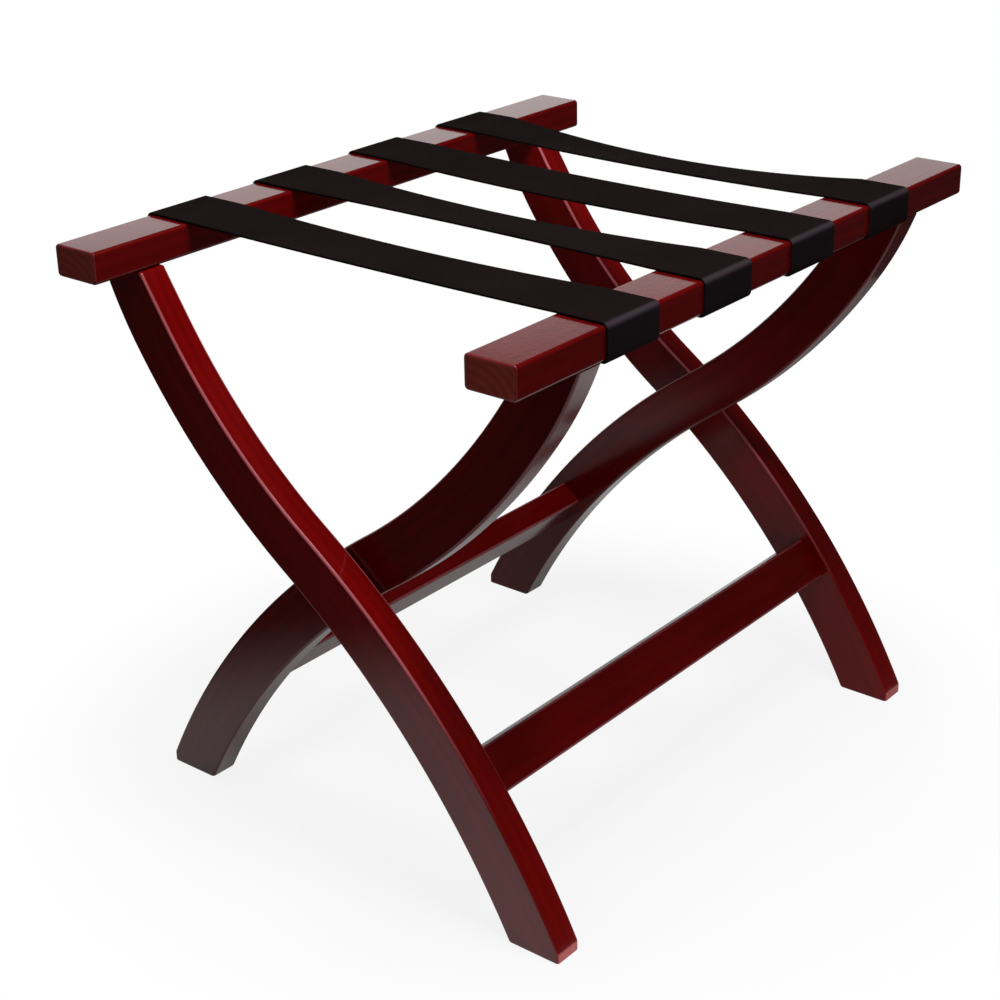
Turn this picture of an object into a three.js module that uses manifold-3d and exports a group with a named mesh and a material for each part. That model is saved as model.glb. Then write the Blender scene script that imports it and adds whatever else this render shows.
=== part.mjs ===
// Folding luggage rack: two S-legged wooden frames that cross on hidden pivots, with webbing
// straps stretched between their top rails.
// Millimetres. X runs across the rack, Y along the rails, Z up, and the floor is at z = 0.

import * as THREE from 'three';
import { mergeVertices } from 'three/addons/utils/BufferGeometryUtils.js';
import Module from 'manifold-3d';

const wasm = await Module();
wasm.setup();

// Driving dimensions: rails
const railTopHeight = 500;
const railSpread = 458; // across the outer faces of both rails
const railLength = 616;
const railWidth = 45;
const railDepth = 26;
const railEdgeRadius = 3;
const railEndChamfer = 1.5;

// Driving dimensions: legs
const legThickness = 26;
const railOverhang = 43; // rail end to the outer face of an outer leg
const legGap = 2; // between an outer leg and the inner leg beside it
const legTopWidth = 45;
const legFootWidth = 47.5;
const legInset = 1; // leg top's centre, in from the rail's centre
const legBow = THREE.MathUtils.degToRad(14.1); // how much flatter than its chord the S runs at its bend
const legBendHeight = 272; // where the S changes direction
const legChamfer = 2;
const toeSetBack = 1.5; // upright toe facet, in from the rail's outer face

// Driving dimensions: stretchers
const stretcherHeight = 118; // of the section's centre
const stretcherWidth = 40;
const stretcherThickness = 25;
const stretcherEdgeRadius = 3;

// Driving dimensions: straps
const strapCount = 4;
const strapWidth = 62;
const strapLegGap = 0.8; // from an end strap's edge to the inner leg beside it
const strapThickness = 2;
const strapSag = 6;
const strapTuck = 36; // under the rail, from its outer face

// Driving dimensions: pivots
const pinRadius = 5;
const pinCover = 8; // wood left behind the pin's blind hole
const bushWall = 2;
const bushFloor = 1;
const washerRadius = 14;

// Driving dimensions: dowels and tacks
const dowelRadius = 4;
const railDowelDepth = 15; // into the rail, and into the leg
const stretcherDowelCover = 12; // wood left behind a stretcher dowel's hole in a leg
const dowelEdge = 11.5; // from the edge of a leg top or stretcher to a dowel's axis
const tackHeadRadius = 4.5;
const tackHeadThickness = 1.4;
const tackShankRadius = 1.4;
const tackLength = 15;
const tackEdge = 14; // from a strap's edge to a tack
const tackInset = 20; // from the rail's outer face to a tack

// Clearance between pieces that touch
const fitGap = 0.3;

// Facets
const pivotSides = 24;
const fastenerSides = 12;
const cornerSteps = 4;
const legSteps = 30;
const sagSteps = 16;

// Places worked out from the driving dimensions
const railOuterX = railSpread / 2;
const railCentreX = railOuterX - railWidth / 2;
const railUnderside = railTopHeight - railDepth;
const outerLegY = railLength / 2 - railOverhang - legThickness / 2;
const innerLegY = outerLegY - legThickness - legGap;
const pinDepth = legThickness - pinCover; // in the outer leg, and in the bush of the inner leg
const stretcherDowelDepth = legThickness - stretcherDowelCover; // into the leg, and into the stretcher
const sides = [-1, 1];

function material(color, roughness, metalness = 0) {
  return new THREE.MeshStandardMaterial({ color, roughness, metalness });
}

const materials = {
  wood: () => material(0x4a0d0c, 0.25),
  dowel: () => material(0xb98a58, 0.7),
  webbing: () => material(0x17161a, 0.85),
  steel: () => material(0x9a9a9c, 0.35, 1),
  nylon: () => material(0x2a2a2c, 0.5),
};

// Joining and cutting

function solid(geometry) {
  const bare = geometry.clone();
  bare.deleteAttribute('normal');
  bare.deleteAttribute('uv');
  const merged = mergeVertices(bare);
  return new wasm.Manifold(new wasm.Mesh({
    numProp: 3,
    vertProperties: new Float32Array(merged.attributes.position.array),
    triVerts: new Uint32Array(merged.index.array),
  }));
}

function surface(body) {
  const mesh = body.getMesh();
  const geometry = new THREE.BufferGeometry();
  geometry.setAttribute('position', new THREE.BufferAttribute(mesh.vertProperties, 3));
  geometry.setIndex(new THREE.BufferAttribute(mesh.triVerts, 1));
  geometry.computeVertexNormals();
  return geometry;
}

function cut(geometry, tools) {
  return surface(tools.reduce((body, tool) => body.subtract(solid(tool)), solid(geometry)));
}

// Basic shapes, standing about the origin

function roundedRectangle(width, height, radius) {
  const shape = new THREE.Shape();
  const x = width / 2 - radius;
  const y = height / 2 - radius;
  shape.absarc(x, y, radius, 0, Math.PI / 2);
  shape.absarc(-x, y, radius, Math.PI / 2, Math.PI);
  shape.absarc(-x, -y, radius, Math.PI, Math.PI * 1.5);
  shape.absarc(x, -y, radius, Math.PI * 1.5, Math.PI * 2);
  return shape;
}

// A section drawn in X and Z, extruded along Y and centred on y = 0.
function extrudeAlongY(shape, length, chamfer = 0) {
  const geometry = new THREE.ExtrudeGeometry(shape, {
    depth: length - 2 * chamfer,
    curveSegments: cornerSteps,
    bevelEnabled: chamfer > 0,
    bevelThickness: chamfer,
    bevelSize: chamfer,
    bevelOffset: -chamfer,
    bevelSegments: 1,
  });
  return geometry.translate(0, 0, chamfer - length / 2).rotateX(Math.PI / 2);
}

function rodAlongY(radius, length, sideCount = fastenerSides) {
  return new THREE.CylinderGeometry(radius, radius, length, sideCount);
}

function rodAlongZ(radius, length) {
  return rodAlongY(radius, length).rotateX(Math.PI / 2);
}

function named(name, geometry, look) {
  const mesh = new THREE.Mesh(geometry, look());
  mesh.name = name;
  return mesh;
}

// Leg curve of a frame whose rail is at -X and whose feet are at +X: two arcs that meet at the bend.
// A station is the distance along the curve from the bend, negative above it.

const legTop = new THREE.Vector2(-(railCentreX - legInset), railUnderside);
const legFoot = new THREE.Vector2(-legTop.x, 0);
const legBend = legTop.clone().lerp(legFoot, (railUnderside - legBendHeight) / railUnderside);
const bendSlope = Math.atan2(legTop.y - legFoot.y, legFoot.x - legTop.x) - legBow;
const downLeg = new THREE.Vector2(Math.cos(bendSlope), -Math.sin(bendSlope));
const acrossLeg = new THREE.Vector2(Math.sin(bendSlope), Math.cos(bendSlope));

function arcTo(end) {
  const chord = end.clone().sub(legBend);
  const radius = chord.lengthSq() / (2 * chord.dot(acrossLeg));
  const length = 2 * Math.abs(radius) * Math.asin(chord.length() / (2 * Math.abs(radius)));
  return { radius, length };
}

const upperArc = arcTo(legTop);
const lowerArc = arcTo(legFoot);

function legTurn(station) {
  return station / (station < 0 ? upperArc.radius : lowerArc.radius);
}

function legPoint(station, offset = 0) {
  const radius = station < 0 ? upperArc.radius : lowerArc.radius;
  const turn = legTurn(station);
  const point = legBend.clone().addScaledVector(acrossLeg, radius);
  const reach = radius - offset;
  point.addScaledVector(acrossLeg, -reach * Math.cos(turn));
  return point.addScaledVector(downLeg, reach * Math.sin(turn));
}

function legHalfWidth(station) {
  const share = (station + upperArc.length) / (upperArc.length + lowerArc.length);
  return THREE.MathUtils.lerp(legTopWidth, legFootWidth, share) / 2;
}

// The station where the curve reaches an X or a Z, found by halving.
function stationAt(axis, value) {
  let low = -upperArc.length;
  let high = lowerArc.length;
  const rising = legPoint(high)[axis] > legPoint(low)[axis];
  for (let step = 0; step < 50; step += 1) {
    const middle = (low + high) / 2;
    if (legPoint(middle)[axis] < value === rising) low = middle;
    else high = middle;
  }
  return (low + high) / 2;
}

const pivot = legPoint(stationAt('x', 0));
const stretcherStation = stationAt('y', stretcherHeight);
const stretcherCentre = legPoint(stretcherStation);
const stretcherTilt = bendSlope - legTurn(stretcherStation);

// Places of the dowels in a frame, in X and Z

const railDowelSpacing = legTopWidth - 2 * dowelEdge;
const railDowelCentreX = legPoint(stationAt('y', railUnderside - railDowelDepth / 2)).x;
const railDowelXs = sides.map((side) => railDowelCentreX + side * railDowelSpacing / 2);
const stretcherDowelOffsets = sides.map((side) => side * (stretcherWidth / 2 - dowelEdge));

function stretcherPoint(offset) {
  const along = new THREE.Vector2(Math.cos(stretcherTilt), -Math.sin(stretcherTilt));
  return stretcherCentre.clone().addScaledVector(along, offset);
}

// Places of the straps and their tacks

const endStrapY = innerLegY - legThickness / 2 - strapLegGap - strapWidth / 2;
const strapYs = Array.from({ length: strapCount }, (_, i) => endStrapY * (2 * i / (strapCount - 1) - 1));
const tackOffsets = sides.map((side) => side * (strapWidth / 2 - tackEdge));
const tackYs = strapYs.flatMap((y) => tackOffsets.map((offset) => y + offset));
const tackX = -(railOuterX - tackInset);
const tackHeadTop = railUnderside - strapThickness - 2 * fitGap;

// Pieces of one frame

function railGeometry(legY) {
  const bar = extrudeAlongY(roundedRectangle(railWidth, railDepth, railEdgeRadius), railLength, railEndChamfer);
  bar.translate(-railCentreX, 0, railTopHeight - railDepth / 2);
  const dowelHoles = sides.flatMap((side) => railDowelXs.map((x) => (
    rodAlongZ(dowelRadius + fitGap, 2 * (railDowelDepth + fitGap)).translate(x, side * legY, railUnderside)
  )));
  const tackHoles = tackYs.map((y) => (
    rodAlongZ(tackShankRadius + fitGap, 2 * (tackLength + fitGap)).translate(tackX, y, tackHeadTop)
  ));
  return cut(bar, [...dowelHoles, ...tackHoles]);
}

function legBlank() {
  const spare = legFootWidth;
  const first = -upperArc.length - spare;
  const span = upperArc.length + lowerArc.length + 2 * spare;
  const stations = Array.from({ length: legSteps + 1 }, (_, i) => first + span * i / legSteps);
  const upperEdge = stations.map((s) => legPoint(s, legHalfWidth(s)));
  const lowerEdge = stations.map((s) => legPoint(s, -legHalfWidth(s))).reverse();
  const ribbon = solid(extrudeAlongY(new THREE.Shape([...upperEdge, ...lowerEdge]), legThickness, legChamfer));
  const height = railUnderside - fitGap;
  const toeX = railOuterX - toeSetBack;
  const room = new THREE.BoxGeometry(railOuterX + toeX, 2 * legThickness, height);
  room.translate((toeX - railOuterX) / 2, 0, height / 2);
  return surface(ribbon.intersect(solid(room)));
}

// The inward side of a leg is where its stretcher meets it, +Y for the leg at -Y.
function legGeometry(inward, pivotHole) {
  const railHoles = railDowelXs.map((x) => (
    rodAlongZ(dowelRadius + fitGap, 2 * (railDowelDepth + fitGap)).translate(x, 0, railUnderside)
  ));
  const stretcherHoles = stretcherDowelOffsets.map((offset) => {
    const place = stretcherPoint(offset);
    return rodAlongY(dowelRadius + fitGap, 2 * (stretcherDowelDepth + fitGap))
      .translate(place.x, inward * legThickness / 2, place.y);
  });
  const bore = rodAlongY(pivotHole.radius + fitGap, 2 * (pivotHole.depth + fitGap), pivotSides)
    .translate(pivot.x, pivotHole.side * legThickness / 2, pivot.y);
  return cut(legBlank(), [...railHoles, ...stretcherHoles, bore]);
}

function stretcherGeometry(length) {
  const bar = extrudeAlongY(roundedRectangle(stretcherWidth, stretcherThickness, stretcherEdgeRadius), length);
  const holes = sides.flatMap((side) => stretcherDowelOffsets.map((offset) => (
    rodAlongY(dowelRadius + fitGap, 2 * (stretcherDowelDepth + fitGap)).translate(offset, side * length / 2, 0)
  )));
  return cut(bar, holes);
}

function tackGeometry() {
  const profile = [
    new THREE.Vector2(0, -tackHeadThickness),
    new THREE.Vector2(tackHeadRadius - tackHeadThickness, -tackHeadThickness),
    new THREE.Vector2(tackHeadRadius, 0),
    new THREE.Vector2(tackShankRadius, 0),
    new THREE.Vector2(tackShankRadius, tackLength - 2 * tackShankRadius),
    new THREE.Vector2(0, tackLength),
  ];
  return new THREE.LatheGeometry(profile, fastenerSides).rotateX(Math.PI / 2);
}

// A whole frame with its rail at -X. An inner frame is turned half round about Z afterwards.
function frame(kind, legY, pivotHole, turned) {
  const group = new THREE.Group();
  const end = (side) => (side * (turned ? -1 : 1) < 0 ? 'front' : 'rear');
  group.add(named(`${kind}_rail`, railGeometry(legY), materials.wood));

  for (const side of sides) {
    const hole = { ...pivotHole, side: pivotHole.facesOut ? side : -side };
    const leg = named(`${kind}_leg_${end(side)}`, legGeometry(-side, hole), materials.wood);
    leg.position.y = side * legY;
    group.add(leg);
  }

  const stretcherLength = 2 * (legY - legThickness / 2 - fitGap);
  const stretcher = named(`${kind}_stretcher`, stretcherGeometry(stretcherLength), materials.wood);
  stretcher.position.set(stretcherCentre.x, 0, stretcherCentre.y);
  stretcher.rotation.y = stretcherTilt;
  group.add(stretcher);

  let count = 0;
  for (const side of sides) {
    railDowelXs.forEach((x, i) => {
      count += 1;
      const length = 2 * railDowelDepth;
      const railDowel = named(`${kind}_rail_dowel_${count}`, rodAlongZ(dowelRadius, length), materials.dowel);
      railDowel.position.set(x, side * legY, railUnderside);
      const place = stretcherPoint(stretcherDowelOffsets[i]);
      const cross = named(
        `${kind}_stretcher_dowel_${count}`,
        rodAlongY(dowelRadius, 2 * stretcherDowelDepth),
        materials.dowel,
      );
      cross.position.set(place.x, side * (legY - legThickness / 2), place.y);
      group.add(railDowel, cross);
    });
  }

  tackYs.forEach((y, i) => {
    const tack = named(`${kind}_rail_tack_${i + 1}`, tackGeometry(), materials.steel);
    tack.position.set(tackX, y, tackHeadTop);
    group.add(tack);
  });

  if (turned) group.rotation.z = Math.PI;
  return group;
}

// Straps: a ribbon over both rails, wrapped round their outer faces and tacked underneath

function arcPoints(centreX, centreZ, radius, from, to) {
  return Array.from({ length: cornerSteps + 1 }, (_, i) => {
    const angle = from + (to - from) * i / cornerSteps;
    return new THREE.Vector2(centreX + radius * Math.cos(angle), centreZ + radius * Math.sin(angle));
  });
}

function strapPath() {
  const lift = fitGap + strapThickness / 2;
  const cornerX = -(railOuterX - railEdgeRadius);
  const wrap = railEdgeRadius + lift;
  const tuckedEnd = new THREE.Vector2(-(railOuterX - strapTuck), railUnderside - lift);
  const spanStart = -(railOuterX - railWidth + railEdgeRadius);
  const half = [
    tuckedEnd,
    ...arcPoints(cornerX, railUnderside + railEdgeRadius, wrap, Math.PI * 1.5, Math.PI),
    ...arcPoints(cornerX, railTopHeight - railEdgeRadius, wrap, Math.PI, Math.PI / 2),
  ];
  const span = Array.from({ length: sagSteps + 1 }, (_, i) => {
    const share = 2 * i / sagSteps - 1;
    const drop = strapSag * (1 - share * share);
    return new THREE.Vector2(-share * spanStart, railTopHeight + lift - drop);
  });
  const otherHalf = half.map((p) => new THREE.Vector2(-p.x, p.y)).reverse();
  return [...half, ...span, ...otherHalf];
}

// The closed outline of a ribbon of even thickness that follows a path.
function ribbonOutline(path, thickness) {
  const offsetPath = (offset) => path.map((point, i) => {
    const before = path[Math.max(i - 1, 0)];
    const after = path[Math.min(i + 1, path.length - 1)];
    const run = after.clone().sub(before).normalize();
    const bend = point.equals(before) || point.equals(after)
      ? 1
      : point.clone().sub(before).normalize().dot(run);
    return new THREE.Vector2(point.x - run.y * offset / bend, point.y + run.x * offset / bend);
  });
  return new THREE.Shape([...offsetPath(thickness / 2), ...offsetPath(-thickness / 2).reverse()]);
}

function strapGeometry() {
  const ribbon = extrudeAlongY(ribbonOutline(strapPath(), strapThickness), strapWidth);
  const holes = sides.flatMap((side) => tackOffsets.map((offset) => (
    rodAlongZ(tackShankRadius + fitGap, tackLength).translate(side * tackX, offset, railUnderside)
  )));
  return cut(ribbon, holes);
}

function straps() {
  const group = new THREE.Group();
  strapYs.forEach((y, i) => {
    const strap = named(`strap_${i + 1}`, strapGeometry(), materials.webbing);
    strap.position.y = y;
    group.add(strap);
  });
  return group;
}

// Pivots: a pin set in each outer leg, a bush in the inner leg and a washer between them

const bushRadius = pinRadius + fitGap + bushWall;
const bushLength = pinDepth + bushFloor;

function bushGeometry() {
  const bore = rodAlongY(pinRadius + fitGap, bushLength, pivotSides).translate(0, bushFloor, 0);
  return cut(rodAlongY(bushRadius, bushLength, pivotSides), [bore]);
}

function washerGeometry() {
  const thickness = legGap - 2 * fitGap;
  const bore = rodAlongY(pinRadius + fitGap, 2 * thickness, pivotSides);
  return cut(rodAlongY(washerRadius, thickness, pivotSides), [bore]);
}

function pivots() {
  const group = new THREE.Group();
  const outerFaceY = outerLegY - legThickness / 2;
  const innerFaceY = innerLegY + legThickness / 2;
  const pinLength = 2 * pinDepth + legGap - fitGap;
  for (const side of sides) {
    const end = side < 0 ? 'front' : 'rear';
    const pin = named(`pivot_pin_${end}`, rodAlongY(pinRadius, pinLength, pivotSides), materials.steel);
    pin.position.y = outerFaceY + pinDepth - pinLength / 2;
    const bush = named(`pivot_bush_${end}`, bushGeometry(), materials.nylon);
    bush.position.y = innerFaceY - bushLength / 2;
    const washer = named(`pivot_washer_${end}`, washerGeometry(), materials.nylon);
    washer.position.y = (outerFaceY + innerFaceY) / 2;
    const stack = new THREE.Group();
    stack.position.set(pivot.x, 0, pivot.y);
    if (side < 0) stack.rotation.z = Math.PI;
    stack.add(pin, bush, washer);
    group.add(stack);
  }
  return group;
}

const rack = new THREE.Group();
rack.add(frame('outer', outerLegY, { radius: pinRadius, depth: pinDepth, facesOut: false }, false));
rack.add(frame('inner', innerLegY, { radius: bushRadius, depth: bushLength, facesOut: true }, true));
rack.add(straps());
rack.add(pivots());

export default rack;
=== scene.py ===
import math

import bmesh
import bpy
import numpy as np
from mathutils import Matrix, Vector


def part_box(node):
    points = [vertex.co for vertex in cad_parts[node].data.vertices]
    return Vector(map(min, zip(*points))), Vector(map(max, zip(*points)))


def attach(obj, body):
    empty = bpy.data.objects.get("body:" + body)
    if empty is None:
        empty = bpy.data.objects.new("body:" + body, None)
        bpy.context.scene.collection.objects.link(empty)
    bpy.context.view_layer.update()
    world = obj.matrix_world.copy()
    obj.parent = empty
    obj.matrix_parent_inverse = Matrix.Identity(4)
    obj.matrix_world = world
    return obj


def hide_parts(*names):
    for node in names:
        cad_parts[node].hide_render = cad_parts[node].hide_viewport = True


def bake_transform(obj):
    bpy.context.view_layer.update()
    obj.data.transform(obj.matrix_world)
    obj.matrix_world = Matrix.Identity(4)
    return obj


# Looks for a folding luggage rack: lacquered wooden frames with rounded arrises and woven straps.
# Metres, in the solids' own frame: X across the rack, Y along the rails, Z up.

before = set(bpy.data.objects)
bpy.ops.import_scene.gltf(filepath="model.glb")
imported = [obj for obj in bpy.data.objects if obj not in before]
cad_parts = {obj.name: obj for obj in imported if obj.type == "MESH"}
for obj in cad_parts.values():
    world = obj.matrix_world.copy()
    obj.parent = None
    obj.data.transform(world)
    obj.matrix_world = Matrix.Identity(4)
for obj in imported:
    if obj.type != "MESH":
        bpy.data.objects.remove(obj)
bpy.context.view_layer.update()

# Places read from the solids. Rail, legs and stretcher are those of the outer frame, whose rail is at -X.
RAIL_LOW, RAIL_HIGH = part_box("outer_rail")
RAIL_CENTRE = (RAIL_LOW + RAIL_HIGH) / 2
LEG_LOW, LEG_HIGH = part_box("outer_leg_front")
INNER_LEG_LOW, INNER_LEG_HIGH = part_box("inner_leg_front")
STRETCHER_LOW, STRETCHER_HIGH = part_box("outer_stretcher")
INNER_STRETCHER_LOW, INNER_STRETCHER_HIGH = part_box("inner_stretcher")
STRAPS = [f"strap_{i}" for i in range(1, 5)]

# Wood sizes
RAIL_ARRIS = 0.003
RAIL_END_ROUND = 0.0016
STRETCHER_WIDTH = 0.040
STRETCHER_THICKNESS = 0.025
STRETCHER_ARRIS = 0.003
LEG_ARRIS = 0.0025
LEG_FOOT_ROUND = 0.0015
LEG_TOP_ROUND = 0.001
LEG_SHY = 0.0024  # how far a leg's edges draw in at its top, to come out under the rail
LEG_SHY_LENGTH = 0.06  # the stretch over which they do
LEG_TOP_WIDTH = 0.045
LEG_FOOT_WIDTH = 0.0475
LEG_INSET = 0.001  # leg top's centre, in from the rail's centre
LEG_BOW = math.radians(14.1)  # how much flatter than its chord the S runs at its bend
LEG_BEND_HEIGHT = 0.272

# How light each board is (for the inner legs partly painted shade), and how far its arrises are rubbed and
# painted pale as a highlight
RAIL_TONE, STRETCHER_TONE, OUTER_LEG_TONE, INNER_LEG_TONE_AND_SHADE = 0.7, 0.82, 1.0, 0.64
RAIL_WEAR, STRETCHER_WEAR_AND_HIGHLIGHT, OUTER_LEG_WEAR_AND_HIGHLIGHT, INNER_LEG_WEAR_AND_HIGHLIGHT = 0.25, 0.62, 1.0, 0.35
END_WEAR, TOE_WEAR = 0.4, 0.51  # round a rail's ends, and on a leg's toe
LEG_WEAR_AND_HIGHLIGHT_HEIGHTS = (0.06, 0.2)  # between them a leg's arris rubbing and painted highlight grow to their full share
LEG_WEAR_AND_HIGHLIGHT_SPREAD = 0.5  # a power: below 1, the rubbing and painted highlight cover more of a leg's arris
CUT_EDGE = 0.0005  # the strip of a leg's edge that counts as the toe's own face
LOG_PLACES = ((0, 9), (0.01, 0.03), (0.025, 0.05))  # where a board lies: along its log, and from the pith

# Strap sizes
STRAP_THICKNESS = 0.002
STRAP_EDGE_ROUND = 0.0008
STRAP_SAGS = (0.003, 0.0025, 0.0035, 0.0075)
STRAP_TILTS = tuple(math.radians(turn) for turn in (3.0, 7.0, -1.0, 7.5))  # at mid-span, rear edge down
STRAP_TUCK = 0.036  # under the rail, from its outer face
STRAP_LIFT = 0.0013  # centre of the webbing above the wood that it lies on
STRAP_SIDE_PAINTED_LIGHT = 0.2  # painted light on a rail's outer face, as a share of the painted highlight at the turn over its top

# Mesh steps
ARRIS_STEPS = 6
END_STEPS = 4
LEG_RINGS = 96
LAST_LEG_RING = 1 - 0.15 / LEG_RINGS  # share of a leg's length, just above its toe
TOE_STEP = 0.0006  # from the toe's upper edge down to its first ring
FOOT_RINGS = 8
BAR_RING_SPACING = 0.02
STRAP_RING_SPACING = 0.005
STRAP_CORNER_STEPS = 8
HALVINGS = 50  # of a leg's length, to find a place on it
SMOOTH_ANGLE = math.radians(50)  # edges that turn by more than this stay crisp

rng = np.random.default_rng(11)


# Meshes

def rounded_ring(width, depth, radius):
    """Points (a, b) round a rectangle with rounded corners, and how far each is into a corner, 0 to 1."""
    points, corner = [], []
    corner_signs = [(1, 1), (-1, 1), (-1, -1), (1, -1)]
    for quarter, (sign_a, sign_b) in enumerate(corner_signs):
        for step in range(ARRIS_STEPS + 1):
            angle = math.pi / 2 * (quarter + step / ARRIS_STEPS)
            a = sign_a * (width / 2 - radius) + radius * math.cos(angle)
            b = sign_b * (depth / 2 - radius) + radius * math.sin(angle)
            points.append((a, b))
            corner.append(math.sin(math.pi * step / ARRIS_STEPS))
    return np.array(points), np.array(corner)


def loft(name, rings, attributes):
    """A closed body through rings of points (rings, points, 3), with named values for its points."""
    count, around = rings.shape[:2]
    mesh = bpy.data.meshes.new(name)
    index = np.arange(count * around).reshape(count, around)
    ahead = np.roll(index, -1, axis=1)
    quads = np.stack([index[:-1], ahead[:-1], ahead[1:], index[1:]], axis=-1).reshape(-1, 4)
    faces = [*quads.tolist(), index[0, ::-1].tolist(), index[-1].tolist()]
    mesh.from_pydata(rings.reshape(-1, 3).tolist(), [], faces)
    for key, values in attributes.items():
        kind, field = ("FLOAT_VECTOR", "vector") if values.ndim == 3 else ("FLOAT", "value")
        layer = mesh.attributes.new(key, kind, "POINT")
        layer.data.foreach_set(field, values.astype(np.float32).ravel())
    shaped = bmesh.new()
    shaped.from_mesh(mesh)
    bmesh.ops.recalc_face_normals(shaped, faces=shaped.faces)
    shaped.to_mesh(mesh)
    shaped.free()
    mesh.shade_smooth()
    mesh.set_sharp_from_angle(angle=SMOOTH_ANGLE)
    piece = bpy.data.objects.new(name, mesh)
    bpy.context.scene.collection.objects.link(piece)
    normals = piece.modifiers.new("even_normals", "WEIGHTED_NORMAL")
    normals.keep_sharp = True
    return piece


def tree_place():
    """Where a board was cut from its log: along it, and from its pith."""
    return np.array([rng.uniform(low, high) for low, high in LOG_PLACES])


def end_steps(radius):
    """Distances from an end and how far the section is drawn in there, round an end arris."""
    turns = [math.pi / 2 * step / END_STEPS for step in range(END_STEPS + 1)]
    return [(radius * (1 - math.cos(t)), radius * (1 - math.sin(t))) for t in turns]


def board(name, rings, grain, arrises, cuts, tone):
    """A wooden body through rings, with the values that its material reads at each point."""
    values = {"grain": np.array(grain), "arris": np.array(arrises), "cut": np.array(cuts)}
    values["tone"] = np.full(values["cut"].shape, tone)
    return loft(name, np.array(rings), values)


def bar(name, width, depth, arris, low_y, high_y, end_round, tone, wear_and_highlight):
    """A bar about the Y axis with rounded arrises. Its ends are rounded too, unless end_round is 0."""
    near = [(0.0, end_round + arris), *end_steps(end_round)] if end_round else [(0.0, 0.0)]
    middle = np.arange(BAR_RING_SPACING, high_y - low_y - BAR_RING_SPACING / 2, BAR_RING_SPACING)
    places = [(low_y + d, inset) for d, inset in near]
    places += [(low_y + d, 0.0) for d in middle]
    places += [(high_y - d, inset) for d, inset in reversed(near)]
    in_log = tree_place()
    rings, grain, arrises, cuts = [], [], [], []
    for y, inset in places:
        points, corner = rounded_ring(width - 2 * inset, depth - 2 * inset, arris)
        rings.append(np.column_stack([points[:, 0], np.full(len(points), y), points[:, 1]]))
        grain.append(np.column_stack([np.full(len(points), y), points]) + in_log)
        # an arris value dulls the lacquer; a high one also paints it pale, partly rubbing and partly a
        # painted highlight
        if inset == 0:
            arrises.append(corner * wear_and_highlight)
        else:
            arrises.append(np.full(len(points), END_WEAR if inset <= end_round else 0.0))
        cuts.append(np.full(len(points), float(0 < end_round <= inset)))
    return board(name, rings, grain, arrises, cuts, tone)


# Leg curve of the outer frame: two arcs that meet at the bend, in X and Z.
# A station is the distance along the curve from the bend, negative above it.

LEG_TOP = np.array([RAIL_CENTRE.x + LEG_INSET, RAIL_LOW.z])
LEG_FOOT = np.array([-LEG_TOP[0], 0.0])
LEG_BEND = LEG_TOP + (LEG_FOOT - LEG_TOP) * (LEG_TOP[1] - LEG_BEND_HEIGHT) / LEG_TOP[1]
BEND_SLOPE = math.atan2(LEG_TOP[1] - LEG_FOOT[1], LEG_FOOT[0] - LEG_TOP[0]) - LEG_BOW
DOWN_LEG = np.array([math.cos(BEND_SLOPE), -math.sin(BEND_SLOPE)])
ACROSS_LEG = np.array([math.sin(BEND_SLOPE), math.cos(BEND_SLOPE)])


def arc_to(end):
    """Signed radius and length of the arc that leaves the bend along the leg and reaches end."""
    chord = end - LEG_BEND
    radius = chord @ chord / (2 * chord @ ACROSS_LEG)
    return radius, 2 * abs(radius) * math.asin(np.linalg.norm(chord) / (2 * abs(radius)))


UPPER_RADIUS, UPPER_LENGTH = arc_to(LEG_TOP)
LOWER_RADIUS, LOWER_LENGTH = arc_to(LEG_FOOT)


def leg_radius(station):
    """Signed radius of the arc that a station is on."""
    return UPPER_RADIUS if station < 0 else LOWER_RADIUS


def leg_point(station, side):
    """A point of the leg's upper edge (side 1), its centre (0) or its lower edge (-1)."""
    radius = leg_radius(station)
    from_top = station + UPPER_LENGTH
    share = from_top / (UPPER_LENGTH + LOWER_LENGTH)
    half_width = (LEG_TOP_WIDTH + (LEG_FOOT_WIDTH - LEG_TOP_WIDTH) * share) / 2
    half_width -= LEG_SHY * max(1 - from_top / LEG_SHY_LENGTH, 0) ** 2
    reach = radius - side * half_width
    turn = station / radius
    return LEG_BEND + ACROSS_LEG * (radius - reach * math.cos(turn)) + DOWN_LEG * reach * math.sin(turn)


def station_at(side, axis, value):
    """The station where an edge reaches an X (axis 0) or a Z (axis 1), found by halving."""
    low, high = -UPPER_LENGTH - LEG_FOOT_WIDTH, LOWER_LENGTH + LEG_FOOT_WIDTH
    rising = axis == 0
    for _ in range(HALVINGS):
        middle = (low + high) / 2
        if (leg_point(middle, side)[axis] < value) == rising:
            low = middle
        else:
            high = middle
    return (low + high) / 2


def edge_at(side, height):
    """The point where an edge of the leg reaches a height."""
    return leg_point(station_at(side, 1, height), side)


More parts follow.
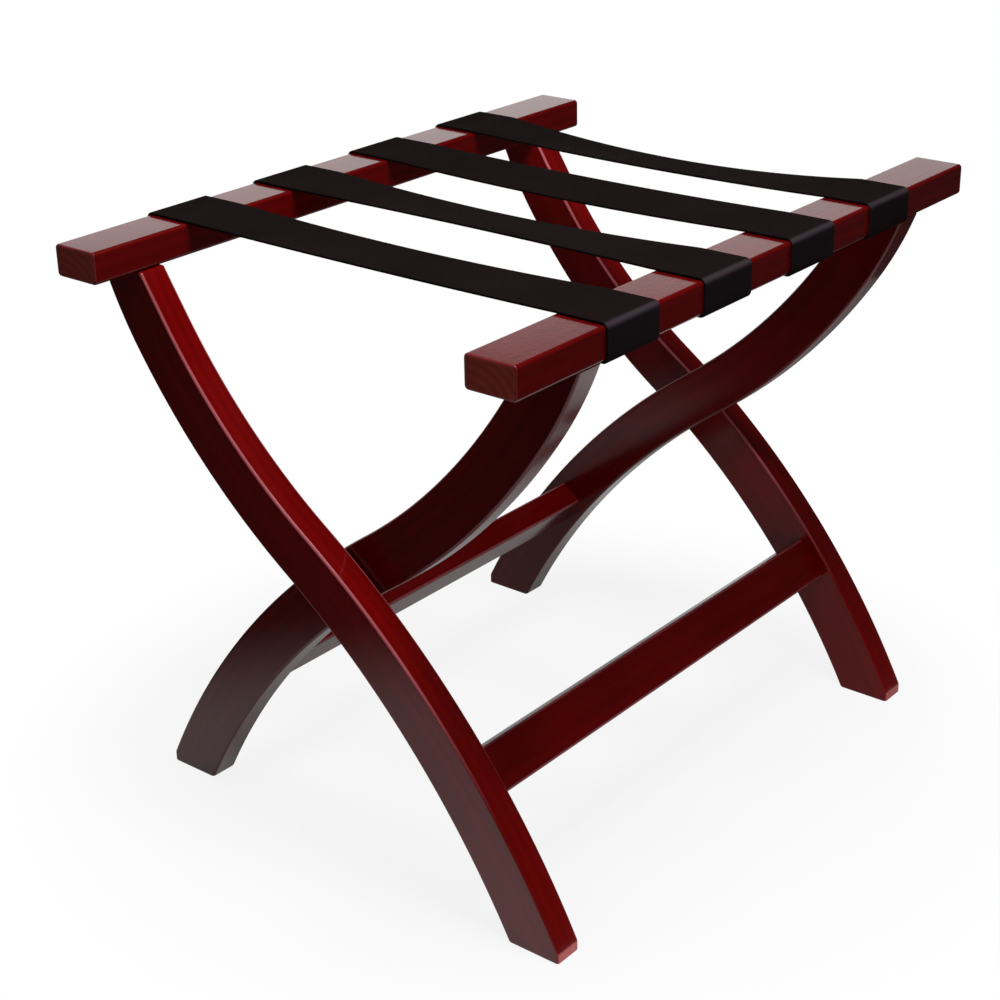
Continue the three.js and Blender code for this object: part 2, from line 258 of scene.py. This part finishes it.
def leg_edges():
    """Rows from a leg's top to its sole, and the height of its toe's upper edge.

    A row has matching points of the upper and the lower edge, and how far the section is drawn in there.
    """
    toe_x = LEG_HIGH.x
    upper_toe = station_at(1, 0, toe_x)
    toe_z = leg_point(upper_toe, 1)[1]
    rows = []
    for drop, inset in [(0.0, LEG_TOP_ROUND + LEG_ARRIS), *end_steps(LEG_TOP_ROUND)[:-1]]:
        height = LEG_HIGH.z - drop
        rows.append((edge_at(1, height), edge_at(-1, height), inset))
    shoulder = LEG_HIGH.z - LEG_TOP_ROUND
    starts = {side: station_at(side, 1, shoulder) for side in (1, -1)}
    lengths = {1: upper_toe - starts[1], -1: station_at(-1, 1, toe_z) - starts[-1]}
    for share in [*np.linspace(0, 1, LEG_RINGS, endpoint=False), LAST_LEG_RING]:
        upper, lower = (leg_point(starts[side] + lengths[side] * share, side) for side in (1, -1))
        rows.append((upper, lower, 0.0))
    foot = [(height, 0.0) for height in np.linspace(toe_z - TOE_STEP, 2 * LEG_FOOT_ROUND, FOOT_RINGS)]
    foot += reversed(end_steps(LEG_FOOT_ROUND))
    for height, inset in foot:
        lower_x = edge_at(-1, height)[0]
        rows.append((np.array([toe_x, height]), np.array([lower_x, height]), inset))
    rows.append((*rows[-1][:2], LEG_FOOT_ROUND + LEG_ARRIS))
    return rows, toe_z


def leg(name, centre_y, turned):
    """An S-shaped leg. A turned one is of the inner frame, which is the outer one turned half round."""
    rows, toe_z = leg_edges()
    thickness = LEG_HIGH.y - LEG_LOW.y
    # the inner legs are darker: partly their own tone, partly painted shade
    tone, full_wear_and_highlight = (INNER_LEG_TONE_AND_SHADE, INNER_LEG_WEAR_AND_HIGHLIGHT) if turned else (OUTER_LEG_TONE, OUTER_LEG_WEAR_AND_HIGHLIGHT)
    in_log = tree_place()
    rings, grain, arrises, cuts = [], [], [], []
    along, last = 0.0, (rows[0][0] + rows[0][1]) / 2
    for upper, lower, inset in rows:
        centre = (upper + lower) / 2
        along += np.linalg.norm(centre - last)
        last = centre
        width = np.linalg.norm(upper - lower)
        across = (upper - lower) / width
        points, corner = rounded_ring(width - 2 * inset, thickness - 2 * inset, LEG_ARRIS)
        flat = centre + points[:, :1] * across
        rings.append(np.column_stack([flat[:, 0], points[:, 1], flat[:, 1]]))
        grain.append(np.column_stack([np.full(len(points), along), points]) + in_log)
        # the arris is dulled and painted pale from low on the leg upward: partly rubbing, partly a painted
        # highlight
        wear_and_highlight = full_wear_and_highlight * np.interp(centre[1], LEG_WEAR_AND_HIGHLIGHT_HEIGHTS, (0, 1))
        below_toe = upper[1] < toe_z
        on_toe = (points[:, 0] >= points[:, 0].max() - CUT_EDGE) & below_toe
        on_sole = inset >= LEG_FOOT_ROUND and below_toe
        arrises.append(np.where(on_toe, TOE_WEAR, corner**LEG_WEAR_AND_HIGHLIGHT_SPREAD * wear_and_highlight * (inset == 0)))
        cuts.append(np.maximum(on_toe, on_sole).astype(float))
    body = np.array(rings)
    if turned:
        body[..., :2] *= -1
    body[..., 1] += centre_y
    return board(name, body, grain, arrises, cuts, tone)


def wooden(piece, body, node):
    """Lacquers a piece that rides a body and replaces a node."""
    piece.data.materials.append(LACQUERED_WOOD)
    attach(piece, body)
    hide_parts(node)


def build_frame(kind, turned, leg_low, leg_high, stretcher_low, stretcher_high):
    """The rail, legs and stretcher of one frame."""
    body = f"{kind}_frame"
    side = -1 if turned else 1
    rail = bar(
        f"{kind}_rail_lacquered", RAIL_HIGH.x - RAIL_LOW.x, RAIL_HIGH.z - RAIL_LOW.z, RAIL_ARRIS,
        RAIL_LOW.y, RAIL_HIGH.y, end_round=RAIL_END_ROUND, tone=RAIL_TONE, wear_and_highlight=RAIL_WEAR,
    )
    rail.location = (side * RAIL_CENTRE.x, 0, RAIL_CENTRE.z)
    wooden(rail, body, f"{kind}_rail")

    leg_y = (leg_low.y + leg_high.y) / 2
    for end, centre_y in (("front", leg_y), ("rear", -leg_y)):
        wooden(leg(f"{kind}_leg_{end}_lacquered", centre_y, turned), body, f"{kind}_leg_{end}")

    centre_z = (stretcher_low.z + stretcher_high.z) / 2
    station = station_at(0, 1, centre_z)
    tilt = BEND_SLOPE - station / leg_radius(station)
    stretcher = bar(
        f"{kind}_stretcher_lacquered", STRETCHER_WIDTH, STRETCHER_THICKNESS, STRETCHER_ARRIS,
        stretcher_low.y, stretcher_high.y, end_round=0, tone=STRETCHER_TONE, wear_and_highlight=STRETCHER_WEAR_AND_HIGHLIGHT,
    )
    stretcher.rotation_euler.y = side * tilt
    stretcher.location = ((stretcher_low.x + stretcher_high.x) / 2, 0, centre_z)
    wooden(stretcher, body, f"{kind}_stretcher")


# Straps

def strap_path(sag):
    """The webbing's centreline in X and Z, from its end under the outer rail to the one under the inner."""
    corner_x = RAIL_LOW.x + RAIL_ARRIS
    wrap = RAIL_ARRIS + STRAP_LIFT

    def corner(centre_z, start):
        """A quarter turn round one of the rail's outer arrises."""
        turns = np.linspace(start, start - math.pi / 2, STRAP_CORNER_STEPS + 1)
        return np.column_stack([corner_x + wrap * np.cos(turns), centre_z + wrap * np.sin(turns)])

    def run(start, end):
        """Even steps from one point to another, without the two."""
        count = max(2, round(np.linalg.norm(end - start) / STRAP_RING_SPACING))
        return start + (end - start) * np.linspace(0, 1, count, endpoint=False)[1:, None]

    tucked = np.array([RAIL_LOW.x + STRAP_TUCK, RAIL_LOW.z - STRAP_LIFT])
    under = corner(RAIL_LOW.z + RAIL_ARRIS, -math.pi / 2)
    over = corner(RAIL_HIGH.z - RAIL_ARRIS, -math.pi)
    span_x = RAIL_HIGH.x - RAIL_ARRIS
    span_end = np.array([span_x, RAIL_HIGH.z + STRAP_LIFT])
    half = np.concatenate([
        tucked[None], run(tucked, under[0]), under, run(under[-1], over[0]), over, run(over[-1], span_end),
    ])
    share = np.linspace(-1, 1, round(-2 * span_x / STRAP_RING_SPACING) + 1)
    span = np.column_stack([-share * span_x, span_end[1] - sag * (1 - share**2)])
    other_half = half[::-1] * np.array([-1, 1])
    return np.concatenate([half, span, other_half])


def lengths_along(path):
    """Distance of each point from the start of a path."""
    return np.concatenate([[0], np.cumsum(np.linalg.norm(np.diff(path, axis=0), axis=1))])


def strap_painted_highlight(path):
    """How much painted highlight the webbing gets: most at its turn over a rail's outer arris, some painted
    light below it.
    """
    past = (np.abs(path[:, 0]) + RAIL_LOW.x + RAIL_ARRIS) / (RAIL_ARRIS + STRAP_LIFT)
    turned = np.arcsin(np.clip(past, 0, 1))
    at_turn = np.where(path[:, 1] > RAIL_CENTRE.z, np.sin(2 * turned) ** 2, 0)
    return at_turn + STRAP_SIDE_PAINTED_LIGHT * turned / (math.pi / 2)


def strap(name, path, tilt):
    """A woven strap along the path, at the place of the solid of that name, tilted in its span."""
    low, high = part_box(name)
    heading = np.gradient(path, axis=0)
    heading /= np.linalg.norm(heading, axis=1, keepdims=True)
    off = np.column_stack([-heading[:, 1], heading[:, 0]])
    points, _ = rounded_ring(high.y - low.y, STRAP_THICKNESS, STRAP_EDGE_ROUND)
    along = lengths_along(path)
    rings, weave = [], []
    spread = np.clip(1 - (path[:, 0] / RAIL_HIGH.x) ** 2, 0, 1)
    for place, outward, distance, turn in zip(path, off, along, tilt * spread):
        width = points[:, 0] * math.cos(turn) + points[:, 1] * math.sin(turn)
        rise = points[:, 1] * math.cos(turn) - points[:, 0] * math.sin(turn)
        flat = place + rise[:, None] * outward
        rings.append(np.column_stack([flat[:, 0], width + (low.y + high.y) / 2, flat[:, 1]]))
        weave.append(np.column_stack([np.full(len(points), distance), points]))
    # painted highlight at the turns over the rails, painted light on their outer faces
    painted_highlight = np.repeat(strap_painted_highlight(path)[:, None], len(points), axis=1)
    piece = loft(f"{name}_webbing", np.array(rings), {"weave": np.array(weave), "painted_highlight": painted_highlight})
    piece.data.materials.append(WEBBING)
    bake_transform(piece)
    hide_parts(name)


# Nodes

def linked(tree):
    """A way to add a node to a tree, with settings and inputs."""
    def node(kind, inputs=None, **settings):
        made = tree.nodes.new(kind)
        for key, value in settings.items():
            setattr(made, key, value)
        for key, value in (inputs or {}).items():
            if isinstance(value, bpy.types.NodeSocket):
                tree.links.new(value, made.inputs[key])
            else:
                made.inputs[key].default_value = value
        return made
    return node


def emptied(block):
    """A way to add nodes to the tree of a material or world, which is emptied first."""
    block.use_nodes = True
    block.node_tree.nodes.clear()
    return linked(block.node_tree)


def shader(name, constants):
    """A new material with constants on its shader, and ways to add a node and to link one to the shader."""
    material = bpy.data.materials.new(name)
    material.use_nodes = True
    tree = material.node_tree
    principled = tree.nodes["Principled BSDF"]
    for key, value in constants.items():
        principled.inputs[key].default_value = value

    def link(source, key):
        tree.links.new(source, principled.inputs[key])

    return material, linked(tree), link


def attribute(node, name, output="Fac"):
    """A value that a mesh holds for its points."""
    return node("ShaderNodeAttribute", attribute_name=name).outputs[output]


def noise(node, place, scale, detail=2.0, roughness=0.5):
    """The level of a noise at a place."""
    values = {"Vector": place, "Scale": scale, "Detail": detail, "Roughness": roughness}
    return node("ShaderNodeTexNoise", values).outputs["Fac"]


def bump(node, height, strength, distance):
    """A normal that is bent by a height."""
    values = {"Height": height, "Strength": strength, "Distance": distance}
    return node("ShaderNodeBump", values).outputs["Normal"]


def calculated(node, kind, *values):
    """The result of a calculation of that kind on one to three values."""
    return node("ShaderNodeMath", dict(enumerate(values)), operation=kind).outputs[0]


def dot(node, first, second):
    """How far one vector reaches along another."""
    return node("ShaderNodeVectorMath", {0: first, 1: second}, operation="DOT_PRODUCT").outputs["Value"]


def mirror_rays(node, paths):
    """1 for what gloss mirrors or glass lets through, else 0."""
    return calculated(node, "MAXIMUM", paths["Is Glossy Ray"], paths["Is Transmission Ray"])


def graded(node, value, start=0.0, end=1.0, least=0.0, most=1.0, kind="LINEAR"):
    """A level that goes from least to most as a value goes from start to end."""
    limits = {"From Min": start, "From Max": end, "To Min": least, "To Max": most}
    return node("ShaderNodeMapRange", {"Value": value, **limits}, interpolation_type=kind).outputs["Result"]


def ramp(node, source, stops):
    """A colour ramp from (position, colour) stops."""
    made = node("ShaderNodeValToRGB", {"Fac": source})
    bands = made.color_ramp.elements
    while len(bands) < len(stops):
        bands.new(0.5)
    for band, (position, colour) in zip(bands, stops):
        band.position = position
        band.color = (*colour, 1)
    return made.outputs["Color"]


def mix(node, kind, share, first, second):
    """Two colours mixed. The second is a socket or a plain colour."""
    if isinstance(second, tuple):
        second = (*second, 1)
    made = node("ShaderNodeMix", {0: share, 6: first, 7: second}, data_type="RGBA", blend_type=kind)
    return made.outputs[2]


# Materials

# Growth rings, and how far each pattern is scaled along the grain and across it
RING_WAVE = {"Scale": 45.0, "Distortion": 4.0, "Detail": 2.0, "Detail Scale": 0.35}
RING_SCALE, PORE_SCALE, PATCH_SCALE = (0.06, 1.0), (22.0, 900.0), (5.0, 28.0)
PEEL_SCALE = 260.0  # of the lacquer's slight orange peel

# Wood colours, over the patterns' levels
STAIN = ((0.0, (0.15, 0.0014, 0.0016)), (1.0, (0.175, 0.002, 0.0019)))
PORE_TONE = ((0.30, (0.7, 0.65, 0.65)), (0.46, (1.0, 1.0, 1.0)))
PORE_SHARE = 0.6  # how strongly the pores show
PATCH_TONE = ((0.3, (0.85, 0.8, 0.8)), (0.7, (1.12, 1.2, 1.15)))
END_GRAIN = ((0.0, (0.53, 0.074, 0.054)), (0.55, (0.58, 0.084, 0.061)), (1.0, (0.62, 0.095, 0.068)))
PALE_ARRIS_AND_HIGHLIGHT = (0.56, 0.13, 0.155)  # pale pink on an arris: partly rubbed-thin stain, partly a painted highlight
PALE_ARRIS_FROM = 0.25  # arris values up to here only dull the lacquer; above, the pale painted highlight begins
PATCHY_PALE_ARRIS = (0.3, 0.7, 0.45)  # the patches' levels over which the pale arris grows, and its share where it is least

# Lacquer
LACQUER_ROUGHNESS = (0.14, 0.2)
ARRIS_DULLNESS = 0.35
COAT_WEIGHT = 0.5  # none is left on a fully worn arris
COAT_ROUGHNESS = 0.1
LACQUER_IOR = 1.33

# Webbing
RIB_PERIOD, PICK_PERIOD = 0.0022, 0.0016
FUZZ_SCALE, FADE_SCALE = 900.0, 14.0
YARN = ((0.0, (0.004, 0.0025, 0.0025)), (0.6, (0.0085, 0.0052, 0.0052)), (1.0, (0.0135, 0.0083, 0.0083)))
FADE_TONE = ((0.3, (0.85, 0.85, 0.85)), (0.7, (1.2, 1.15, 1.1)))
# the painted highlight's colour, where the webbing turns over a rail
PAINTED_HIGHLIGHT_YARN = (0.046, 0.033, 0.041)
PATCHY_PAINTED_HIGHLIGHT = (0.25, 0.65, 0.5)  # as for the wood, over the levels of the fading: where the painted highlight grows, and its share where least
YARN_ROUGHNESS = (0.55, 0.75)
YARN_SHEEN = {"Sheen Weight": 0.01, "Sheen Roughness": 0.4, "Sheen Tint": (0.55, 0.6, 0.8, 1)}
YARN_SPECULAR = 0.003


def lacquered_wood():
    """Red-stained wood under clear lacquer: growth rings, pores, end grain, and pale arrises, partly rubbed
    stain and partly a painted highlight.
    """
    constants = {"IOR": LACQUER_IOR, "Coat Roughness": COAT_ROUGHNESS, "Coat IOR": LACQUER_IOR}
    material, node, link = shader("lacquered_wood", constants)
    grain = attribute(node, "grain", "Vector")
    arris = attribute(node, "arris")

    def stretched(along, across):
        """The place in the log, scaled along the grain and across it."""
        scaled = node("ShaderNodeMapping", {"Vector": grain, "Scale": (along, across, across)})
        return scaled.outputs["Vector"]

    waves = {"Vector": stretched(*RING_SCALE), **RING_WAVE}
    rings = node("ShaderNodeTexWave", waves, wave_type="RINGS", rings_direction="X").outputs["Fac"]
    pores = noise(node, stretched(*PORE_SCALE), 1.0, roughness=0.6)
    patches = noise(node, stretched(*PATCH_SCALE), 1.0, detail=3.0, roughness=0.55)
    peel = noise(node, grain, PEEL_SCALE, detail=1.0)

    stain = ramp(node, rings, STAIN)
    stain = mix(node, "MULTIPLY", PORE_SHARE, stain, ramp(node, pores, PORE_TONE))
    stain = mix(node, "MULTIPLY", 1.0, stain, ramp(node, patches, PATCH_TONE))
    stain = mix(node, "MIX", attribute(node, "cut"), stain, ramp(node, rings, END_GRAIN))
    stain = mix(node, "MULTIPLY", 1.0, stain, attribute(node, "tone", "Color"))
    # pale arrises: partly rubbed stain, partly a painted highlight
    arris_paleness = graded(node, arris, PALE_ARRIS_FROM)
    worn_and_highlit = calculated(node, "MULTIPLY", arris_paleness, graded(node, patches, *PATCHY_PALE_ARRIS))
    link(mix(node, "MIX", worn_and_highlit, stain, PALE_ARRIS_AND_HIGHLIGHT), "Base Color")

    gloss = graded(node, patches, 0.0, 1.0, *LACQUER_ROUGHNESS)
    link(calculated(node, "MULTIPLY_ADD", arris, ARRIS_DULLNESS, gloss), "Roughness")
    link(graded(node, arris, least=COAT_WEIGHT, most=0.0), "Coat Weight")
    height = calculated(node, "ADD", pores, peel)
    link(bump(node, height, strength=0.12, distance=0.0004), "Normal")
    return material


def webbing():
    """Black woven webbing: ribs along the strap, picks across it, a soft sheen, and a painted highlight
    where it turns over a rail.
    """
    material, node, link = shader("webbing", {**YARN_SHEEN, "Specular IOR Level": YARN_SPECULAR})
    weave = attribute(node, "weave", "Vector")
    place = node("ShaderNodeSeparateXYZ", {"Vector": weave}).outputs

    def wave(source, period):
        """A sine wave along a length."""
        return calculated(node, "SINE", calculated(node, "MULTIPLY", source, 2 * math.pi / period))

    crossing = calculated(node, "MULTIPLY", wave(place["Y"], RIB_PERIOD), wave(place["X"], PICK_PERIOD))
    level = graded(node, crossing, -1.0)
    fuzz = noise(node, weave, FUZZ_SCALE)
    fade = noise(node, weave, FADE_SCALE)

    yarn = mix(node, "MULTIPLY", 1.0, ramp(node, level, YARN), ramp(node, fade, FADE_TONE))
    # painted highlight, patchy with the fading
    pale = calculated(node, "MULTIPLY", attribute(node, "painted_highlight"), graded(node, fade, *PATCHY_PAINTED_HIGHLIGHT))
    link(mix(node, "MIX", pale, yarn, PAINTED_HIGHLIGHT_YARN), "Base Color")
    link(graded(node, fuzz, 0.0, 1.0, *YARN_ROUGHNESS), "Roughness")
    height = calculated(node, "ADD", level, fuzz)
    link(bump(node, height, strength=0.3, distance=0.0003), "Normal")
    return material


def plain(name, dark, light, roughness, scale, stretch=(1, 1, 1), metallic=0.0):
    """A small part's material: streaky or grainy colour between two tones, and uneven roughness."""
    material, node, link = shader(name, {"Metallic": metallic})
    place = node("ShaderNodeTexCoord").outputs["Object"]
    scaled = node("ShaderNodeMapping", {"Vector": place, "Scale": stretch}).outputs["Vector"]
    tone = noise(node, scaled, scale, detail=3.0)
    link(ramp(node, tone, ((0.3, dark), (0.7, light))), "Base Color")
    link(graded(node, tone, 0.0, 1.0, *roughness), "Roughness")
    link(bump(node, tone, strength=0.15, distance=0.0003), "Normal")
    return material


LACQUERED_WOOD = lacquered_wood()
WEBBING = webbing()
DOWEL_WOOD = plain(
    "dowel_wood", dark=(0.36, 0.2, 0.09), light=(0.55, 0.35, 0.18), roughness=(0.6, 0.8), scale=60.0,
    stretch=(1, 1, 0.1),
)
STEEL = plain(
    "steel", dark=(0.42, 0.42, 0.43), light=(0.62, 0.62, 0.63), roughness=(0.25, 0.4), scale=900.0,
    metallic=1.0,
)
NYLON = plain(
    "nylon", dark=(0.018, 0.018, 0.02), light=(0.03, 0.03, 0.032), roughness=(0.4, 0.55), scale=700.0,
)
NODE_LOOKS = {"dowel": DOWEL_WOOD, "tack": STEEL, "pin": STEEL, "bush": NYLON, "washer": NYLON}

for node_name, node_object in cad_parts.items():
    for word, look in NODE_LOOKS.items():
        if word in node_name:
            node_object.data.materials.clear()
            node_object.data.materials.append(look)

build_frame("outer", False, LEG_LOW, LEG_HIGH, STRETCHER_LOW, STRETCHER_HIGH)
build_frame("inner", True, INNER_LEG_LOW, INNER_LEG_HIGH, INNER_STRETCHER_LOW, INNER_STRETCHER_HIGH)
for strap_name, strap_sag, strap_tilt in zip(STRAPS, STRAP_SAGS, STRAP_TILTS):
    strap(strap_name, strap_path(strap_sag), strap_tilt)


# Stage: a white table, a white studio wall, soft lamps and the camera

CAMERA_PLACE = Vector((1.0063, -1.2756, 0.9643))
CAMERA_YAW = math.radians(-39.33)
CAMERA_PITCH = math.radians(24.23)
CAMERA_ROLL = math.radians(-1.02)
CAMERA_LENS_MM = 73.6
WHITE = (1, 1, 1, 1)

# Level directions as the camera faces, and the table's corners along them: to the right, and ahead
RIGHT = Vector((math.cos(CAMERA_YAW), -math.sin(CAMERA_YAW), 0))
AHEAD = Vector((math.sin(CAMERA_YAW), math.cos(CAMERA_YAW), 0))
TABLE_CORNERS = ((-0.6, -0.8), (0.65, -0.8), (0.65, 1.4), (-0.6, 1.4))
TABLE_PAPER = (0.9, 0.9, 0.9, 1)
SHADOW_REACH = (0.3, 0.51)  # the shadow on the table is all there within the first, and gone by the second
SHADOW_WHITE = 0.88  # how much of the camera's view of the shadow is plain white

# How bright the table's white is in reflections. The four numbers are where a level starts to change and
# where it has changed, and the level before and after.
MIRROR_EDGE = (-0.6, -0.38, 0.0, 1.0)  # along RIGHT: the table's left edge
MIRROR_LEFT = (-0.38, -0.03, 0.62, 0.85)  # along RIGHT: from there to the middle
MIRROR_BACK = (0.32, 0.55, 1.0, 0.2)  # along AHEAD
MIRROR_SHADOW = (*SHADOW_REACH, 0.35, 1.0)  # from the middle
MIRROR_FRONT = (-0.25, -0.1, 1.0, 0.0)  # along Y: the share of the front, where the shadow is smaller
MIRROR_FRONT_SHADOW = (0.22, 0.34, 0.35, 1.0)  # from the middle

WALL_BEARING = Vector((-0.9, 0.436, 0))  # where the white studio wall stands, seen from the object
WALL_WIDTH = (0.5, 0.87)  # how far a direction has to face the wall to see its edge, and its full white
WALL_STOPS = ((0.0, 0.0), (0.01, 1.0), (0.28, 1.0), (0.315, 0.6), (0.35, 0.2), (0.45, 0.04))  # rise, white
ROOM_LIGHT = 0.03


def table():
    """A white table top, square to the camera. It keeps a soft shadow near the object."""
    mesh = bpy.data.meshes.new("table")
    mesh.from_pydata([RIGHT * a + AHEAD * b for a, b in TABLE_CORNERS], [], [(0, 1, 2, 3)])
    floor = bpy.data.objects.new("table", mesh)
    bpy.context.scene.collection.objects.link(floor)
    material = bpy.data.materials.new("table_white")
    node = emptied(material)
    paths = node("ShaderNodeLightPath").outputs
    place = node("ShaderNodeTexCoord").outputs["Object"]
    reach = node("ShaderNodeVectorMath", {0: place}, operation="LENGTH").outputs["Value"]
    sideways = dot(node, place, RIGHT)
    away = dot(node, place, AHEAD)
    along = node("ShaderNodeSeparateXYZ", {"Vector": place}).outputs["Y"]

    def level(value, limits):
        return graded(node, value, *limits, kind="SMOOTHSTEP")

    def times(first, second):
        return calculated(node, "MULTIPLY", first, second)

    def either(first, second):
        return calculated(node, "MAXIMUM", first, second)

    shown = times(paths["Is Camera Ray"], level(reach, (*SHADOW_REACH, SHADOW_WHITE, 1.0)))
    edge = times(level(sideways, MIRROR_EDGE), level(sideways, MIRROR_LEFT))
    edge = times(edge, level(away, MIRROR_BACK))
    front = times(level(along, MIRROR_FRONT), level(reach, MIRROR_FRONT_SHADOW))
    reflected = times(edge, either(front, level(reach, MIRROR_SHADOW)))
    strength = either(paths["Is Camera Ray"], reflected)
    paper = node("ShaderNodeBsdfDiffuse", {"Color": TABLE_PAPER}).outputs["BSDF"]
    glow = node("ShaderNodeEmission", {"Strength": strength}).outputs["Emission"]
    share = either(shown, mirror_rays(node, paths))
    both = node("ShaderNodeMixShader", {0: share, 1: paper, 2: glow}).outputs["Shader"]
    node("ShaderNodeOutputMaterial", {"Surface": both})
    floor.data.materials.append(material)


def studio_world():
    """White for the camera, a white studio wall for gloss and glass, and a soft light from the room."""
    world = bpy.data.worlds.new("studio")
    bpy.context.scene.world = world
    node = emptied(world)
    paths = node("ShaderNodeLightPath").outputs
    direction = node("ShaderNodeTexCoord").outputs["Generated"]
    rise = node("ShaderNodeSeparateXYZ", {"Vector": direction}).outputs["Z"]

    def background(colour, strength):
        return node("ShaderNodeBackground", {"Color": colour, "Strength": strength}).outputs[0]

    wall = ramp(node, rise, [(position, (level, level, level)) for position, level in WALL_STOPS])
    width = graded(node, dot(node, direction, WALL_BEARING), *WALL_WIDTH, kind="SMOOTHSTEP")
    mirrored = background(wall, calculated(node, "MULTIPLY", width, mirror_rays(node, paths)))
    room = background(WHITE, ROOM_LIGHT)
    inside = node("ShaderNodeAddShader", {0: room, 1: mirrored}).outputs[0]
    views = {0: paths["Is Camera Ray"], 1: inside, 2: background(WHITE, 1.0)}
    both = node("ShaderNodeMixShader", views).outputs[0]
    node("ShaderNodeOutputWorld", {"Surface": both})


def lamp(name, place, aim, width, height, watts, mirrored):
    """A soft lamp. One that is not mirrored leaves no highlight on the lacquer."""
    light = bpy.data.lights.new(name, "AREA")
    light.shape = "RECTANGLE"
    light.size = width
    light.size_y = height
    light.energy = watts
    holder = bpy.data.objects.new(name, light)
    holder.location = place
    holder.visible_glossy = mirrored
    holder.rotation_euler = (Vector(aim) - Vector(place)).to_track_quat("-Z", "Y").to_euler()
    bpy.context.scene.collection.objects.link(holder)


def camera():
    """The camera that was fitted to the photo."""
    forward = Vector((
        math.cos(CAMERA_PITCH) * math.sin(CAMERA_YAW),
        math.cos(CAMERA_PITCH) * math.cos(CAMERA_YAW),
        -math.sin(CAMERA_PITCH),
    ))
    raised = RIGHT.cross(forward)
    right = RIGHT * math.cos(CAMERA_ROLL) + raised * math.sin(CAMERA_ROLL)
    up = raised * math.cos(CAMERA_ROLL) - RIGHT * math.sin(CAMERA_ROLL)
    data = bpy.data.cameras.new("camera")
    data.lens = CAMERA_LENS_MM
    holder = bpy.data.objects.new("camera", data)
    turn = Matrix((right, up, -forward)).transposed().to_4x4()
    holder.matrix_world = Matrix.Translation(CAMERA_PLACE) @ turn
    bpy.context.scene.collection.objects.link(holder)
    bpy.context.scene.camera = holder


table()
studio_world()
lamp("key", place=(0.33, -0.18, 1.75), aim=(0, -0.3, 0.2), width=0.6, height=0.6, watts=24, mirrored=True)
lamp("fill", place=(1.0, -0.3, 0.2), aim=(0, 0, 0.2), width=0.6, height=0.3, watts=1.4, mirrored=False)
camera()
bpy.context.scene.view_settings.view_transform = "Standard"
